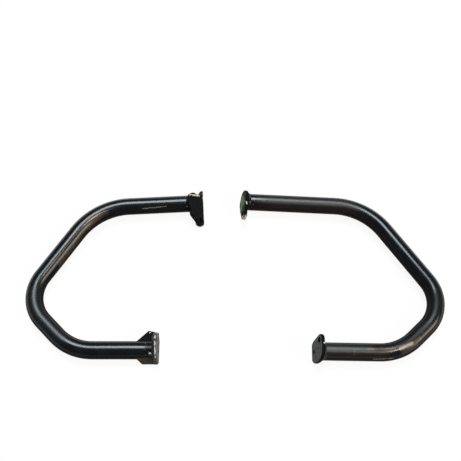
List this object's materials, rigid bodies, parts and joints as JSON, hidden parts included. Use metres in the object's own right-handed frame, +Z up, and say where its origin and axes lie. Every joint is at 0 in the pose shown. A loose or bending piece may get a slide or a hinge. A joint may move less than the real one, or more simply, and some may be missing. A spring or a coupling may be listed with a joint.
{
  "type": "motorcycle crash bars",
  "caption": "Set of bent steel tube engine guards for a motorcycle, left and right, each arm ending in a welded mounting plate with a bolt ear.",
  "frame": {"origin": "bottom centre of the set's box, on the surface that the bars lie on", "axes": "+X from the left bar to the right bar, +Y from the lower arms to the upper arms, +Z up from the surface"},
  "size_m": [0.6068, 0.2764, 0.0383],
  "materials": {
    "black_paint": "semi-gloss black paint, chipped and scuffed",
    "green_plug": "satin moulded plastic"
  },
  "bodies": {
    "root": {"left_tube": "black_paint", "left_upper_plate": "black_paint", "left_upper_weld": "black_paint", "left_lower_plate": "black_paint", "left_lower_weld": "black_paint", "left_lower_gusset": "black_paint", "left_lower_brace": "black_paint", "right_tube": "black_paint", "right_upper_plate": "black_paint", "right_upper_weld": "black_paint", "right_upper_plug": "green_plug", "right_lower_plate": "black_paint", "right_lower_weld": "black_paint"}
  },
  "joints": []
}
